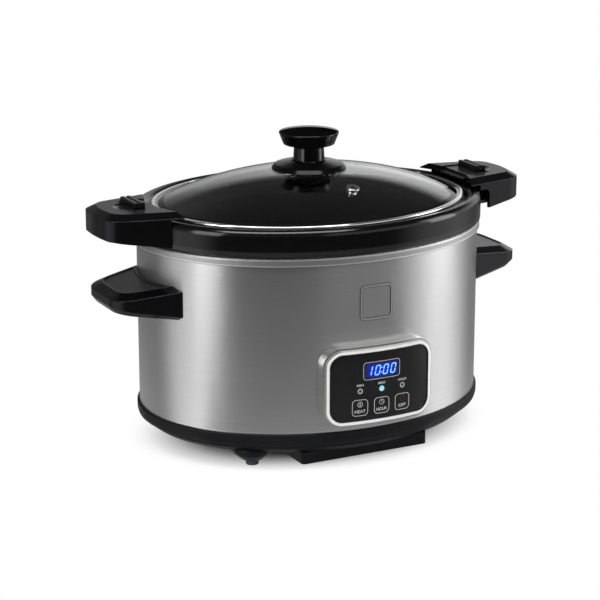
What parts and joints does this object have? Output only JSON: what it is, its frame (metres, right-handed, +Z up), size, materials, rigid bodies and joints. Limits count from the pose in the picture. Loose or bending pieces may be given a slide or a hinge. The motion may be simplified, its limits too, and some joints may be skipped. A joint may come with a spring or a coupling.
{
  "type": "slow cooker",
  "caption": "Oval countertop slow cooker with brushed steel body, digital front panel, lift-out stoneware pot, domed glass lid and sliding lid latches.",
  "frame": {"origin": "on the table under the centre of the oval body", "axes": "+Z up, +X along the oval's length towards the right handle, -Y towards the control panel"},
  "size_m": [0.3644, 0.245, 0.2418],
  "materials": {
    "base_pan": "satin moulded",
    "capacitor": "sleeved",
    "centre_nut": "zinc plated",
    "centre_stud": "zinc plated",
    "control_bezel": "satin silver coat",
    "control_board": "solder resist",
    "control_board_screws": "zinc plated",
    "control_box": "satin moulded",
    "control_box_screws": "zinc plated",
    "control_panel": "gloss black",
    "cord_gland": "moulded",
    "crock": "gloss black glaze",
    "display_module": "moulded",
    "display_window": "tinted blue",
    "handle_screws": "zinc plated",
    "handle_underside_left": "satin black",
    "handle_underside_right": "satin black",
    "heat_shield": "rolled",
    "heater_band": "foil faced",
    "heater_band_springs": "zinc plated",
    "heater_leads": "silicone sleeved",
    "heating_well": "satin",
    "indicator_high": "clear light pipe",
    "indicator_low": "clear light pipe",
    "indicator_warm": "clear light pipe",
    "key_stop": "gloss black",
    "key_temp": "gloss black",
    "key_time": "gloss black",
    "knob": "gloss black",
    "knob_base": "gloss black",
    "knob_screw": "plated",
    "knob_washer": "silicone",
    "latch_left": "satin black",
    "latch_right": "satin black",
    "lid_glass": "clear tempered",
    "lid_ring": "polished stainless",
    "lock_handle_left": "satin black",
    "lock_handle_right": "satin black",
    "lock_plate_left": "satin black",
    "lock_plate_right": "satin black",
    "lock_screws": "zinc plated",
    "outer_shell": "brushed around the body",
    "power_board": "solder resist",
    "relay": "moulded",
    "ribbon_cable": "grey",
    "rubber_foot_back_left": "matte blue grey",
    "rubber_foot_back_right": "matte blue grey",
    "rubber_foot_front_left": "matte blue grey",
    "rubber_foot_front_right": "matte blue grey",
    "side_handle_left": "satin black",
    "side_handle_right": "satin black",
    "spacer_lower": "cut tube",
    "spacer_upper": "cut tube",
    "tact_switches": "moulded",
    "temperature_sensor": "turned",
    "terminal_block": "moulded",
    "thermal_fuse": "drawn",
    "transformer": "laminated",
    "vent_grommet": "silicone"
  },
  "bodies": {
    "base": {"base_pan": "base_pan", "capacitor": "capacitor", "centre_nut": "centre_nut", "centre_stud": "centre_stud", "control_bezel": "control_bezel", "control_board": "control_board", "control_board_screws": "control_board_screws", "control_box": "control_box", "control_box_screws": "control_box_screws", "control_panel": "control_panel", "cord_gland": "cord_gland", "display_module": "display_module", "display_window": "display_window", "handle_screws": "handle_screws", "handle_underside_left": "handle_underside_left", "handle_underside_right": "handle_underside_right", "heat_shield": "heat_shield", "heater_band": "heater_band", "heater_band_springs": "heater_band_springs", "heater_leads": "heater_leads", "heating_well": "heating_well", "indicator_high": "indicator_high", "indicator_low": "indicator_low", "indicator_warm": "indicator_warm", "outer_shell": "outer_shell", "power_board": "power_board", "relay": "relay", "ribbon_cable": "ribbon_cable", "rubber_foot_back_left": "rubber_foot_back_left", "rubber_foot_back_right": "rubber_foot_back_right", "rubber_foot_front_left": "rubber_foot_front_left", "rubber_foot_front_right": "rubber_foot_front_right", "side_handle_left": "side_handle_left", "side_handle_right": "side_handle_right", "spacer_lower": "spacer_lower", "spacer_upper": "spacer_upper", "tact_switches": "tact_switches", "temperature_sensor": "temperature_sensor", "terminal_block": "terminal_block", "thermal_fuse": "thermal_fuse", "transformer": "transformer"},
    "lid": {"lid_glass": "lid_glass", "lid_ring": "lid_ring", "vent_grommet": "vent_grommet", "knob_base": "knob_base", "knob": "knob", "knob_washer": "knob_washer", "knob_screw": "knob_screw"},
    "crock": {"crock": "crock", "lock_handle_left": "lock_handle_left", "lock_handle_right": "lock_handle_right", "lock_plate_left": "lock_plate_left", "lock_plate_right": "lock_plate_right", "lock_screws": "lock_screws"},
    "latch_left": {"latch_left": "latch_left"},
    "latch_right": {"latch_right": "latch_right"},
    "key_temp": {"key_temp": "key_temp"},
    "key_time": {"key_time": "key_time"},
    "key_stop": {"key_stop": "key_stop"}
  },
  "joints": [
    {"name": "crock_lift", "type": "slide", "parent": "base", "child": "crock", "axis": [0, 0, 1], "range_m": [0, 0.18]},
    {"name": "lid_lift", "type": "slide", "parent": "crock", "child": "lid", "axis": [0, 0, 1], "range_m": [0, 0.12]},
    {"name": "latch_left_slide", "type": "slide", "parent": "crock", "child": "latch_left", "axis": [1, 0, 0], "range_m": [0, 0.008]},
    {"name": "latch_right_slide", "type": "slide", "parent": "crock", "child": "latch_right", "axis": [-1, 0, 0], "range_m": [0, 0.008]},
    {"name": "key_temp_press", "type": "slide", "parent": "base", "child": "key_temp", "axis": [0, 1, 0], "range_m": [0, 0.0005], "stiffness_N_per_m": 900, "springref_m": -0.0006},
    {"name": "key_time_press", "type": "slide", "parent": "base", "child": "key_time", "axis": [0, 1, 0], "range_m": [0, 0.0005], "stiffness_N_per_m": 900, "springref_m": -0.0006},
    {"name": "key_stop_press", "type": "slide", "parent": "base", "child": "key_stop", "axis": [0, 1, 0], "range_m": [0, 0.0005], "stiffness_N_per_m": 900, "springref_m": -0.0006}
  ]
}
